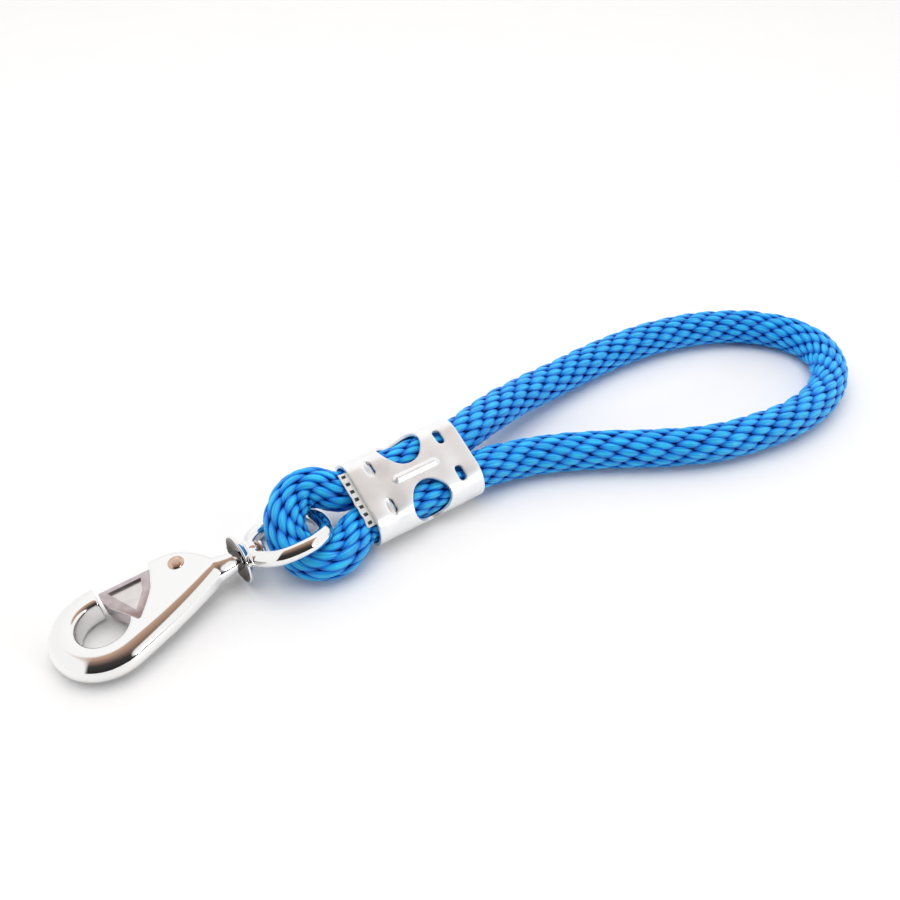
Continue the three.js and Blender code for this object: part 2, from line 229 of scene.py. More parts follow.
def lathe(profile, steps=96, about="X"):
    """A closed profile of (radius, height) turned about an axis. Heights run along that axis."""
    vertices, faces, rows = [], [], []
    for r, h in profile:
        if r == 0:
            rows.append([len(vertices)] * steps)
            vertices.append((h, 0, 0))
        else:
            rows.append(list(range(len(vertices), len(vertices) + steps)))
            for k in range(steps):
                a = 2 * math.pi * k / steps
                vertices.append((h, r * math.cos(a), r * math.sin(a)))
    closed = profile[0][0] > 0
    pairs = zip(rows, rows[1:] + rows[:1]) if closed else zip(rows, rows[1:])
    for low, high in pairs:
        for k in range(steps):
            n = (k + 1) % steps
            face = []
            for v in (low[k], low[n], high[n], high[k]):
                if v not in face:
                    face.append(v)
            faces.append(face)
    if about == "Z":
        vertices = [(y, z, x) for x, y, z in vertices]
    return vertices, faces


def joined(*shells):
    """Several shells as one list of vertices and faces."""
    vertices, faces = [], []
    for shell_vertices, shell_faces in shells:
        start = len(vertices)
        vertices.extend(shell_vertices)
        faces.extend([start + v for v in face] for face in shell_faces)
    return vertices, faces


def prism(outline, low, high):
    """An outline of (x, y) points between two heights."""
    n = len(outline)
    area = sum(x1 * y2 - x2 * y1 for (x1, y1), (x2, y2) in zip(outline, outline[1:] + outline[:1]))
    if area < 0:
        outline = outline[::-1]
    vertices = [(x, y, low) for x, y in outline] + [(x, y, high) for x, y in outline]
    faces = [range(n - 1, -1, -1), range(n, 2 * n)]
    faces += [(k, (k + 1) % n, n + (k + 1) % n, n + k) for k in range(n)]
    return vertices, faces


def bezier(p0, p1, p2, p3, steps=24):
    t = np.linspace(0, 1, steps, endpoint=False)[:, None]
    p0, p1, p2, p3 = (np.array(p, float) for p in (p0, p1, p2, p3))
    curve = (1 - t) ** 3 * p0 + 3 * (1 - t) ** 2 * t * p1 + 3 * (1 - t) * t * t * p2 + t ** 3 * p3
    return [tuple(p) for p in curve]


def arc(centre, radius, start, end, steps=40):
    turn = np.linspace(start, end, steps)
    return [(centre[0] + radius * math.cos(a), centre[1] + radius * math.sin(a)) for a in turn]


def circle(centre, radius, steps):
    return arc(centre, radius, 0, 2 * math.pi * (steps - 1) / steps, steps)


# ---------------------------------------------------------------- material tools


def add_node(tree, kind, inputs=None, **settings):
    """A shader node with its settings made, and its inputs set or linked."""
    node = tree.nodes.new("ShaderNode" + kind)
    for key, value in settings.items():
        setattr(node, key, value)
    for key, value in (inputs or {}).items():
        if isinstance(value, bpy.types.NodeSocket):
            tree.links.new(value, node.inputs[key])
        else:
            node.inputs[key].default_value = value
    return node


def fill_ramp(node, stops):
    elements = node.color_ramp.elements
    while len(elements) < len(stops):
        elements.new(0.5)
    for element, (position, color) in zip(elements, stops):
        element.position = position
        element.color = (*color, 1)


class Shader:
    """A material with a Principled shader and short calls for the nodes in front of it."""

    def __init__(self, name, color=(0.8, 0.8, 0.8), **sockets):
        self.material = bpy.data.materials.new(name)
        self.material.use_nodes = True
        self.tree = self.material.node_tree
        self.bsdf = self.tree.nodes["Principled BSDF"]
        self.bsdf.inputs["Base Color"].default_value = (*color, 1)
        for socket, value in sockets.items():
            label = socket.replace("_", " ").title().replace("Ior", "IOR")
            self.bsdf.inputs[label].default_value = value

    def node(self, kind, inputs=None, **settings):
        return add_node(self.tree, kind, inputs, **settings)

    def link(self, output, socket):
        self.tree.links.new(output, self.bsdf.inputs[socket])

    def noise(self, vector, scale, detail=2.0, stretch=None):
        if stretch:
            vector = self.node("Mapping", {"Vector": vector, "Scale": stretch}).outputs[0]
        return self.node("TexNoise", {"Vector": vector, "Scale": scale, "Detail": detail}).outputs[0]

    def ramp(self, factor, stops):
        node = self.node("ValToRGB", {"Fac": factor})
        fill_ramp(node, stops)
        return node.outputs[0]

    def spread(self, factor, low, high):
        inputs = {"Value": factor, "To Min": low, "To Max": high}
        return self.node("MapRange", inputs).outputs[0]

    def bump(self, *layers):
        """Stacks bumps: each layer is (height, strength, distance in metres)."""
        normal = None
        for height, strength, distance in layers:
            inputs = {"Height": height, "Strength": strength, "Distance": distance}
            if normal:
                inputs["Normal"] = normal
            normal = self.node("Bump", inputs).outputs[0]
        self.link(normal, "Normal")

    @property
    def here(self):
        return self.node("TexCoord").outputs["Object"]

    @property
    def uv(self):
        return self.node("TexCoord").outputs["UV"]


def rope_yarn():
    s = Shader("rope_yarn", roughness=0.36, anisotropic=0.75, specular_ior_level=0.4)
    crest = s.node("Attribute", attribute_name="crest").outputs["Fac"]
    filaments = s.noise(s.uv, 1.0, 2.5, (6.5, 0.8, 1))
    drift = s.noise(s.here, 260, 1.0)
    # Painted shade and highlight from the crest value: near black at the stitch tips and undersides, a
    # painted highlight on each stitch's crest.
    painted_crest_light = s.ramp(crest, [
        (0.0, (0.001, 0.004, 0.06)), (0.50, (0.0, 0.085, 0.46)),
        (0.74, (0.004, 0.27, 0.90)), (0.95, (0.035, 0.60, 1.0))])
    streak = s.node("MixRGB", {0: 0.6, 1: painted_crest_light, 2: s.ramp(filaments, [
        (0.42, (0.22, 0.42, 0.68)), (0.58, (1, 1, 1))])}, blend_type="MULTIPLY").outputs[0]
    tone = s.node("MixRGB", {0: 0.5, 1: streak, 2: s.ramp(drift, [
        (0.3, (0.72, 0.80, 0.88)), (0.7, (1.12, 1.08, 1.04))])}, blend_type="MULTIPLY").outputs[0]
    s.link(tone, "Base Color")
    s.link(s.spread(filaments, 0.30, 0.46), "Roughness")
    s.link(s.node("Tangent", direction_type="UV_MAP", uv_map="UVMap").outputs[0], "Tangent")
    s.bump((filaments, 0.9, 0.0003))
    return s.material


def rope_core_painted_shade():
    s = Shader("rope_core_painted_shade", roughness=0.8)
    # Near black: painted shade, seen through the gaps between the stitches.
    s.link(s.ramp(s.noise(s.here, 900, 2.0), [
        (0.3, (0.003, 0.002, 0.045)), (0.7, (0.008, 0.012, 0.12))]), "Base Color")
    return s.material


def chrome(name="chrome", tint=(0.90, 0.895, 0.89), low=0.03, high=0.09, wave=0.00004):
    s = Shader(name, tint, metallic=1.0)
    s.link(s.spread(s.noise(s.here, 420, 3.0), low, high), "Roughness")
    s.bump((s.noise(s.here, 130, 1.0), 0.35, wave), (s.noise(s.here, 2600, 2.0), 0.10, 0.00001))
    return s.material


def plated_sheet():
    s = Shader("clamp_plating", metallic=0.62)
    patches = s.noise(s.here, 150, 3.0)
    s.link(s.ramp(patches, [(0.3, (0.86, 0.865, 0.875)), (0.7, (0.95, 0.95, 0.955))]), "Base Color")
    grain = s.noise(s.here, 1.0, 2.0, (500, 5200, 5200))
    s.link(s.spread(grain, 0.26, 0.42), "Roughness")
    s.bump((patches, 0.30, 0.00005), (grain, 0.18, 0.00001))
    return s.material


def gate_plating(name, dark, light):
    s = Shader(name, metallic=1.0)
    blotch = s.noise(s.here, 380, 4.0)
    s.link(s.ramp(blotch, [(0.3, dark), (0.7, light)]), "Base Color")
    s.link(s.spread(blotch, 0.26, 0.42), "Roughness")
    s.bump((blotch, 0.4, 0.00006), (s.noise(s.here, 1900, 2.0), 0.25, 0.00002))
    return s.material


def pin_steel():
    s = Shader("pin_steel", metallic=1.0)
    marks = s.noise(s.here, 900, 3.0)
    s.link(s.ramp(marks, [(0.3, (0.56, 0.38, 0.29)), (0.7, (0.76, 0.58, 0.47))]), "Base Color")
    s.link(s.spread(marks, 0.16, 0.34), "Roughness")
    s.bump((marks, 0.3, 0.00003))
    return s.material


def spring_wire():
    s = Shader("spring_wire", (0.46, 0.46, 0.48), metallic=1.0)
    s.link(s.spread(s.noise(s.here, 1500, 2.0), 0.25, 0.45), "Roughness")
    return s.material


def label_tape():
    """White woven tape with a row of plain dark bars."""
    s = Shader("label_tape", roughness=0.75, sheen_weight=0.2)
    parts = s.node("SeparateXYZ", {"Vector": s.uv}).outputs
    warp = s.node("TexWave", {"Vector": s.uv, "Scale": 22.0, "Distortion": 0.4},
                  bands_direction="X").outputs["Fac"]
    weft = s.node("TexWave", {"Vector": s.uv, "Scale": 40.0, "Distortion": 0.4},
                  bands_direction="Y").outputs["Fac"]
    weave = s.node("Math", {0: warp, 1: weft}, operation="MULTIPLY").outputs[0]
    cloth = s.ramp(weave, [(0.0, (0.70, 0.70, 0.69)), (0.6, (0.90, 0.90, 0.89))])
    repeat = s.node("Math", {0: parts[1], 1: 7.0}, operation="MULTIPLY").outputs[0]
    cell = s.node("Math", {0: repeat}, operation="FRACT").outputs[0]

    def between(value, low, high):
        over = s.node("Math", {0: value, 1: low}, operation="GREATER_THAN").outputs[0]
        under = s.node("Math", {0: value, 1: high}, operation="LESS_THAN").outputs[0]
        return s.node("Math", {0: over, 1: under}, operation="MULTIPLY").outputs[0]

    mask = s.node("Math", {0: between(cell, 0.30, 0.70), 1: between(parts[0], 0.06, 0.19)},
                  operation="MULTIPLY").outputs[0]
    s.link(s.node("MixRGB", {0: mask, 1: cloth, 2: (0.03, 0.03, 0.035, 1)}).outputs[0], "Base Color")
    s.bump((weave, 0.5, 0.00008))
    return s.material


# ---------------------------------------------------------------- rope

ROPE_RADIUS = 6.35        # mm, half of it
CLAMP_SQUEEZE = 0.27      # mm off the radius inside the clamp
SQUEEZE_END = 26          # mm from the clamp's middle, where the rope is full again
EYE_SQUEEZE = 0.12        # mm off the radius in the tight eye
EYE_SQUEEZE_X = (-22, -14)
LINE_STEP = 0.5           # mm between points of the centre line
EASE_PASSES = 24
CORE_STEP = 1.2
CORE_DEPTH = 1.55         # mm from the rope's surface in to its core, which is painted dark as shade between the stitches
CORE_SIDES = 30
RING_GAP = 0.15           # mm kept between the rope and the ring's bar
FLOOR_GAP = 0.03
ROPE_COLUMNS = 18
STITCH_PITCH = 8.2        # mm along one column
STITCH_LENGTH = 9.8       # mm, its tips tucked under the next
STITCH_HALF_WIDTH = 1.62
STITCH_LEAN = 0.55        # mm sideways over a stitch's half length
STITCH_CREST = 0.85       # mm from a stitch's middle up to its crest
STITCH_BELLY = 0.55       # mm from its middle down to its underside
STITCH_DIVE = 1.25        # mm that its tips go deeper than its middle
STITCH_RINGS = 9
STITCH_SIDES = 8
STITCH_OVERHANG = 3.5     # mm that a stitch's middle may lie past the rope's ends
PLACE_SPREAD = 0.10       # the spreads say how uneven the stitches are
FULLNESS_SPREAD = 0.045
LEAN_SPREAD = 0.2
SHIFT_SPREAD = 0.07
HEIGHT_SPREAD = 0.06
LAYOUT_SHIFT = np.array((0.0461, -0.0008, 0.0))
LANE_OFFSET = 0.00615     # m from the clamp's middle to each run inside it
LANE_DROP = 0.0003

# The rope's route in metres, in the handle's layout: near lane, eye, far lane, hand loop, near lane.
LANES_NEAR = [(0.0118, -1), (-0.004, -1), (-0.014, -1), (-0.0226, -1)]
LANES_FAR = [(-0.0226, 1), (-0.014, 1), (0.0, 1), (0.012, 1), (0.019, 1)]
LANES_BACK = [(0.019, -1), (0.012, -1)]
EYE_ROUTE = [
    (-0.028, -0.0104, 0.0066), (-0.0328, -0.0117, 0.00605), (-0.0374, -0.0104, 0.00605),
    (-0.0406, -0.0066, 0.0068), (-0.0419, -0.0015, 0.0091), (-0.0407, 0.0036, 0.0118),
    (-0.0372, 0.0073, 0.0136), (-0.0325, 0.0093, 0.015), (-0.0274, 0.0079, 0.0148),
]
LOOP_ROUTE = [
    (0.033, 0.0078, 0.0116), (0.05, 0.0122, 0.0092), (0.068, 0.0145, 0.0072), (0.088, 0.0161, 0.0062),
    (0.107, 0.0155, 0.00605), (0.1244, 0.0123, 0.00605), (0.1396, 0.0064, 0.00605),
    (0.1522, -0.0021, 0.00605), (0.1602, -0.014, 0.00605), (0.1612, -0.026, 0.00605),
    (0.153, -0.0375, 0.00605), (0.138, -0.0448, 0.00605), (0.121, -0.0463, 0.00605),
    (0.1041, -0.0437, 0.00605), (0.0899, -0.0394, 0.00605), (0.0781, -0.0332, 0.00605),
    (0.0671, -0.0263, 0.00605), (0.0561, -0.0194, 0.00605), (0.0449, -0.0134, 0.00605),
    (0.0333, -0.009, 0.0063),
]


def lane_point(x, side):
    """A point of a lane inside the clamp, in the frame."""
    local = CLAMP.to_3x3() @ Vector((0, side * LANE_OFFSET, -LANE_DROP))
    y, z = (CLAMP.translation + local).yz
    return (x + LAYOUT_SHIFT[0], y, z)


def rope_line():
    """The rope's centre line in mm with its arc lengths, eased to take out small kinks."""
    def laid(route):
        return [tuple(np.array(p) + LAYOUT_SHIFT) for p in route]

    def held(lanes):
        return [lane_point(*p) for p in lanes]

    points = held(LANES_NEAR) + laid(EYE_ROUTE) + held(LANES_FAR) + laid(LOOP_ROUTE) + held(LANES_BACK)
    line, _ = spaced(catmull(points) / MM, LINE_STEP)
    for _ in range(EASE_PASSES):
        line[1:-1] = 0.25 * line[:-2] + 0.5 * line[1:-1] + 0.25 * line[2:]
    return spaced(line, LINE_STEP)


def ease(value, low, high):
    """0 up to low, 1 from high on, and a smooth step between."""
    t = np.clip((value - low) / (high - low), 0, 1)
    return t * t * (3 - 2 * t)


def rope_radius(line):
    """The rope is drawn in by the clamp and a little by the tight eye."""
    x = line[:, 0] - (CLAMP.translation.x / MM)
    held = 1 - ease(np.abs(x), CLAMP_HALF_LENGTH, SQUEEZE_END)
    eye = 1 - ease(x, *EYE_SQUEEZE_X)
    return ROPE_RADIUS - CLAMP_SQUEEZE * held - EYE_SQUEEZE * eye


def rope_surface(line, along, radius):
    """A function that gives points by distance along the rope, distance round it and height."""
    _, right, up = sweep_frames(line)

    def on_rope(s, across, height):
        s = np.clip(s, along[0], along[-1])
        centre, a, b = (
            np.column_stack([np.interp(s, along, field[:, k]) for k in range(3)])
            for field in (line, right, up))
        r = np.interp(s, along, radius)
        angle = across / ROPE_RADIUS
        r = (r + height)[:, None]
        return centre + r * (np.cos(angle)[:, None] * a + np.sin(angle)[:, None] * b)

    return on_rope


def stitch_faces(start):
    """Faces of one closed leaf whose points begin at start: its rings, then a fan at each tip."""
    rings, sides = STITCH_RINGS, STITCH_SIDES
    faces = []
    for i in range(rings - 1):
        for j in range(sides):
            n = (j + 1) % sides
            faces.append((start + i * sides + j, start + i * sides + n,
                          start + (i + 1) * sides + n, start + (i + 1) * sides + j))
    low, high = start + rings * sides, start + rings * sides + 1
    last = start + (rings - 1) * sides
    for j in range(sides):
        n = (j + 1) % sides
        faces.append((start + n, start + j, low))
        faces.append((last + j, last + n, high))
    return faces


def stitch_uvs(column, k, t, turn):
    """Each stitch has its own square of the UV plane, clear of its neighbours' squares."""
    left, low = column * 3.0, k * 2.0
    u = left + 0.5 + 0.5 * np.cos(turn)
    v = low + 0.5 + 0.5 * t
    return [(a, b) for b in v for a in u] + [(left + 0.5, low), (left + 0.5, low + 1)]


def stitch_shapes(line, along, radius):
    """All stitches: vertices, faces, crest values for the painted shade and highlight, and UVs. Each
    stitch is a closed leaf.
    """
    on_rope = rope_surface(line, along, radius)
    t = np.linspace(-1, 1, STITCH_RINGS + 2)[1:-1]
    turn = 2 * math.pi * np.arange(STITCH_SIDES) / STITCH_SIDES + math.pi / STITCH_SIDES
    fullness = (1 - np.abs(t) ** 2.2) ** 0.62
    width = STITCH_HALF_WIDTH * (1 - np.abs(t) ** 2.0) ** 0.72 * (1 + 0.14 * t)
    spine = -STITCH_CREST - STITCH_DIVE * np.abs(t) ** 2.3
    lift = np.where(np.sin(turn) > 0, STITCH_CREST, STITCH_BELLY)
    # Crest value for the painted shade and highlight: 1 on a stitch's crest, falling towards its
    # underside and its tips, which are painted dark.
    crest = np.outer(1 - 0.75 * np.abs(t) ** 2.4, 0.5 + 0.5 * np.sin(turn)).ravel()
    dice = np.random.default_rng(7)
    vertices, faces, crests, uvs = [], [], [], []
    count = int((along[-1] - 2) / STITCH_PITCH) + 2
    for column in range(ROPE_COLUMNS):
        stagger = (column * 2 / 3) % 1
        middle = 2 * math.pi * ROPE_RADIUS * column / ROPE_COLUMNS
        for k in range(-1, count):
            s0 = (k + stagger) * STITCH_PITCH + dice.normal(0, PLACE_SPREAD)
            if not along[0] - STITCH_OVERHANG < s0 < along[-1] + STITCH_OVERHANG:
                continue
            plump = 1 + dice.normal(0, FULLNESS_SPREAD)
            lean = STITCH_LEAN * (1 + dice.normal(0, LEAN_SPREAD))
            shift = dice.normal(0, SHIFT_SPREAD)
            proud = dice.normal(0, HEIGHT_SPREAD)
            s = s0 + t * STITCH_LENGTH / 2
            across = np.outer(width * plump, np.cos(turn)) + (middle + shift + lean * t)[:, None]
            height = np.outer(fullness, lift * np.sin(turn)) + (spine + proud)[:, None]
            body = on_rope(np.repeat(s, STITCH_SIDES), across.ravel(), height.ravel())
            tips = on_rope(
                np.array([s0 - STITCH_LENGTH / 2, s0 + STITCH_LENGTH / 2]),
                np.array([middle - lean, middle + lean]),
                np.full(2, -STITCH_CREST - STITCH_DIVE))
            faces.extend(stitch_faces(len(vertices)))
            vertices.extend(body)
            vertices.extend(tips)
            crests.extend(crest)
            crests.extend((0, 0))
            uvs.extend(stitch_uvs(column, k, t, turn))
    return vertices, faces, crests, uvs


def pressed(points, bar_line, reach):
    """Rope surface pushed clear of the ring's bar and of the floor."""
    tree = KDTree(len(bar_line))
    for i, p in enumerate(bar_line):
        tree.insert(p, i)
    tree.balance()
    for i, p in enumerate(points):
        near, _, gap = tree.find(p)
        if gap < reach:
            away = Vector(p) - near
            points[i] = np.array(near + away.normalized() * reach)
    points[:, 2] = np.maximum(points[:, 2], FLOOR_GAP)
    return points


def make_rope(bar_line):
    line, along = rope_line()
    radius = rope_radius(line)
    vertices, faces, crests, uvs = stitch_shapes(line, along, radius)
    first_core_face = len(faces)
    # The core tube also keeps the rope from being seen through; its near-black colour is painted shade
    # in the stitch gaps.
    core_line, core_along = spaced(line, CORE_STEP)
    core = tube(core_line, np.interp(core_along, along, radius) - CORE_DEPTH, CORE_SIDES)
    vertices, faces = joined((vertices, faces), core)
    crests = np.concatenate((crests, np.zeros(len(core[0]))))
    uvs = np.vstack((uvs, np.zeros((len(core[0]), 2))))
    vertices = pressed(np.array(vertices), bar_line, RING_BAR / 2 + RING_GAP)
    rope = new_piece("braided_rope", vertices * MM, faces)
    mesh = rope.data
    mesh.materials.append(rope_yarn())
    mesh.materials.append(rope_core_painted_shade())
    slots = np.zeros(len(faces), int)
    slots[first_core_face:] = 1
    mesh.polygons.foreach_set("material_index", slots)
    # The crest attribute carries the painted shade and highlight into the rope's colour.
    mesh.attributes.new("crest", "FLOAT", "POINT").data.foreach_set("value", crests)
    corner = np.empty(len(mesh.loops), int)
    mesh.loops.foreach_get("vertex_index", corner)
    mesh.uv_layers.new(name="UVMap").data.foreach_set("uv", uvs[corner].ravel())
    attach(rope, "handle")
    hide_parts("rope")
    return rope


# ---------------------------------------------------------------- swivel ring and washer

RING_BAR = 4.6            # its thickness
RING_HALF = [
    (2.9, 1.4), (3.1, 4.6), (5.2, 9), (8.6, 12.5), (13, 13.9),
    (17.8, 13.9), (21.8, 11.8), (23.9, 7.4), (24.8, 0),
]
SHANK_HOLE = 2.1          # radius
FLANGE_LEAN = math.radians(7)     # it sits a little askew on its rivet
FLANGE_LEAN_AXIS = (0, 0.37, 0.93)
FLANGE_SHIFT = 0.3
FLANGE_DISH = 6.9         # radius of its hollow face, which is painted dark as a reflection


def ring_line():
    far = [(x, y, 0) for x, y in RING_HALF]
    near = [(x, -y, 0) for x, y in reversed(RING_HALF[:-1])]
    return spaced(catmull(far + near), 0.5)[0]


def ring_points():
    """The ring's centre line in the frame's millimetres."""
    return [tuple((RING @ (Vector(p) * MM)) / MM) for p in ring_line()]


def make_link():
    bar = tube(ring_line(), RING_BAR / 2, 32)
    stub = lathe([
        (SHANK_HOLE, 1.2), (3.9, 1.2), (3.7, 2.0), (3.35, 3.0), (3.25, 4.9), (3.05, 5.2),
        (SHANK_HOLE, 5.2)], 72)
    link = cast(new_piece("swivel_link", *joined(bar, stub)), 0.24, 6)
    bore = lathe([(0, -1), (SHANK_HOLE, -1), (SHANK_HOLE, 5.4), (0, 5.4)], 48)
    boolean(link, new_piece("link_bore", *bore))
    link.data.materials.append(chrome("link_chrome", high=0.07))
    return link


def make_flange():
    """The dished flange. Its hollow face, towards the hook, is painted dark: a painted reflection of
    the dark side of the room.
    """
    flange = new_piece("swivel_flange", *lathe([
        (SHANK_HOLE, 0.45), (3.6, 0.35), (5.0, 0.0), (6.2, -0.55), (6.9, -1.0), (7.15, -1.08),
        (7.3, -0.95), (7.32, -0.7), (7.1, -0.35), (6.3, 0.5), (5.2, 1.15), (4.3, 1.55),
        (3.6, 2.1), (SHANK_HOLE, 2.1)], 128))
    creased(flange, 50)
    lean = Matrix.Rotation(FLANGE_LEAN, 4, FLANGE_LEAN_AXIS)
    flange.data.transform(Matrix.Translation((FLANGE_SHIFT, 0, 0)) @ lean)
    flange.data.materials.append(chrome("flange_chrome", high=0.07))
    # A dark copy of the chrome on the hollow face: painted reflection of the dark side of the room.
    flange.data.materials.append(chrome("flange_painted_reflection", (0.12, 0.11, 0.105), 0.05, 0.12))
    for face in flange.data.polygons:
        if face.normal.x < -0.3 and math.hypot(face.center.y, face.center.z) < FLANGE_DISH:
            face.material_index = 1
    return flange


def make_swivel():
    for piece in (make_link(), make_flange()):
        seat(piece, RING)
        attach(piece, "swivel_eye")
        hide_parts("swivel_ring")


def make_washer():
    washer = new_piece("swivel_thrust_washer", *lathe([
        (SHANK_HOLE, 5.5), (2.75, 5.5), (2.9, 5.62), (2.9, 5.98), (2.75, 6.1),
        (SHANK_HOLE, 6.1)], 72))
    creased(seat(washer, RING), 50)
    washer.data.materials.append(pin_steel())
    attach(washer, "swivel_eye")
    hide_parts("swivel_washer")


# ---------------------------------------------------------------- hook body

HEAD = (-39.3, -1.8)      # middle of the round head, and of the throat
HEAD_FLAT = 10.9          # radius out to where the edge begins to round
NECK_ANGLE = -1.256       # where the neck runs on into the head
MOUTH_ANGLE = math.pi / 2 + 0.1 - 2 * math.pi     # where the head's round ends, by the mouth
SHANK_END = -8.5
EDGE_ROUND = 3.7
HALF_THICK = 4.0
THROAT = 7.0              # radius
CHEEK_HALF_SLOT = 2.8
PIN_HOLE = 1.8            # radius
THROUGH = 9               # cutters reach this far to each side, clear of both faces
CAST_VOXEL = 0.3


def mirrored(points):
    """Points given as distance from the flange and distance towards the gate's side."""
    return [(-u, v) for u, v in points]


def body_outline():
    """The body seen from its flat side: a round head with a neck that thins to the shank."""
    cx, cy = HEAD
    neck = (cx + HEAD_FLAT * math.cos(NECK_ANGLE), cy + HEAD_FLAT * math.sin(NECK_ANGLE))
    upper, lower = (SHANK_END, 0.3), (SHANK_END, -0.4)
    points = [upper, lower]
    points += bezier(lower, (-14, -3.6), (neck[0] + 11.4, neck[1] + 3.7), neck, 40)[1:]
    points += arc(HEAD, HEAD_FLAT, NECK_ANGLE, MOUTH_ANGLE, 90)
    points += bezier((-22, 9.1), (-15.5, 9.6), (-12.8, 7.6), upper, 40)
    closed = np.array(points + points[:1])
    flat = np.column_stack((closed, np.zeros(len(closed))))
    return spaced(flat, 0.5)[0][:-1, :2]


def round_plate(outline, edge, half):
    """A plate whose whole side is a half round standing proud of the outline."""
    following, before = np.roll(outline, -1, 0), np.roll(outline, 1, 0)
    along = following - before
    out = np.column_stack((along[:, 1], -along[:, 0]))
    out /= np.linalg.norm(out, axis=1)[:, None]
    if (out * (outline - outline.mean(0))).sum() < 0:
        out = -out
    n, steps = len(outline), 20
    vertices, faces = [], []
    for k in range(steps + 1):
        tilt = -math.pi / 2 + math.pi * k / steps
        z = math.copysign(half - edge, tilt) + edge * math.sin(tilt) if k != steps / 2 else 0
        ring = outline + out * edge * math.cos(tilt)
        vertices.extend((x, y, z) for x, y in ring)
    for k in range(steps):
        for i in range(n):
            j = (i + 1) % n
            faces.append((k * n + i, k * n + j, (k + 1) * n + j, (k + 1) * n + i))
    faces.append(range(n - 1, -1, -1))
    faces.append(range(steps * n, (steps + 1) * n))
    return vertices, faces


def hook_shank():
    """The turned shank, narrow through the ring, with its peened end inside the ring."""
    return lathe([
        (0, -19), (3.2, -18), (3.95, -14), (4.0, -9), (3.9, -6.5), (3.55, -4.5), (3.15, -2.5),
        (2.95, -1.2), (2.9, 0.1), (1.8, 0.2), (1.8, 6.5), (2.35, 6.5), (2.5, 6.7), (2.2, 7.2),
        (1.3, 7.5), (0, 7.6)], 72)


def throat_tool():
    """A round cutter that flares at both faces, so that the throat's rim comes out soft."""
    lip, straight, top = 1.3, 2.7, 6.0
    turn = np.linspace(0, 1.5, 8)
    flare = [(THROAT + lip - lip * math.cos(a), straight + lip * math.sin(a)) for a in turn]
    flare += [(9.0, top)]
    profile = [(0, -top)] + [(r, -z) for r, z in reversed(flare)] + flare + [(0, top)]
    tool = new_piece("throat", *lathe(profile, 96, "Z"))
    tool.data.transform(Matrix.Translation((*HEAD, 0)))
    return tool


def mouth_tool():
    """Opens the head from the throat to the gate's side, with the nose left standing."""
    return new_piece("mouth", *prism(mirrored([
        (38.2, 22), (37.8, 9.1), (37.9, 6), (37.7, 3.4), (36.9, 2.4), (32, -4), (30.6, -6.4),
        (30.2, -6.2), (27.2, -2.2), (24.7, 1.7), (22.7, 8.2), (22.2, 22)]), -THROUGH, THROUGH))


def cheek_slot_tool():
    """Parts the body into two cheeks, with the gate's room between them."""
    return new_piece("cheek_slot", *prism(mirrored([
        (36, 22), (36, -6), (31, -8.2), (27.6, -9.8), (25.6, -9.6), (22, -6.4), (18.5, -2.4),
        (13.5, 0.9), (11.3, 3.4), (10.9, 7), (11.5, 22)]), -CHEEK_HALF_SLOT, CHEEK_HALF_SLOT))


def pin_hole_tool():
    return new_piece("pin_hole", *prism(circle(PIVOT, PIN_HOLE, 48), -THROUGH, THROUGH))


def make_hook():
    plate = round_plate(body_outline(), EDGE_ROUND, HALF_THICK)
    hook = new_piece("snap_hook_body", *joined(plate, hook_shank()))
    cast(hook, CAST_VOXEL, 3)
    boolean(hook, throat_tool())
    boolean(hook, mouth_tool())
    cast(hook, CAST_VOXEL, 7)
    boolean(hook, cheek_slot_tool())
    boolean(hook, pin_hole_tool())
    creased(seat(hook, SNAP), 40)
    hook.data.materials.append(chrome("hook_chrome"))
    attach(hook, "hook")
    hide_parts("hook_body")


# ---------------------------------------------------------------- gate, pin and spring

GATE_HALF = 2.5           # half its thickness
RECESS_HALF = 1.7         # half the web left between its two recesses
SPRING_ROOM = 1.5         # half the width of the hollow for the spring


def gate_outline(px, py):
    """A round heel about the pin, a straight inner edge, and a tip that meets the nose."""
    outline = arc((px, py), 4, math.pi / 2, -math.pi * 0.62, 30)
    outline += [(-24.5, -3.0), (-28.6, -5.5), (-29.9, -5.9), (-30.9, -5.1), (-36.2, 3.1)]
    return outline + [(-37.05, 5.6), (-37.2, 9.6), (-22, 9.6)]


def spring_hollow(px, py):
    """Outlines of the hollow: the coil's round, and the ways out for its two legs."""
    coil = circle((px, py), 3.3, 64)
    rear = [(px, py - 3.2), (px + 6, py - 6), (px + 6, py + 6), (px, py + 3.2)]
    front = [(px, py + 3.2), (px - 6.5, py + 5), (px - 6.5, py - 1), (px, py - 3.2)]
    return coil, rear, front


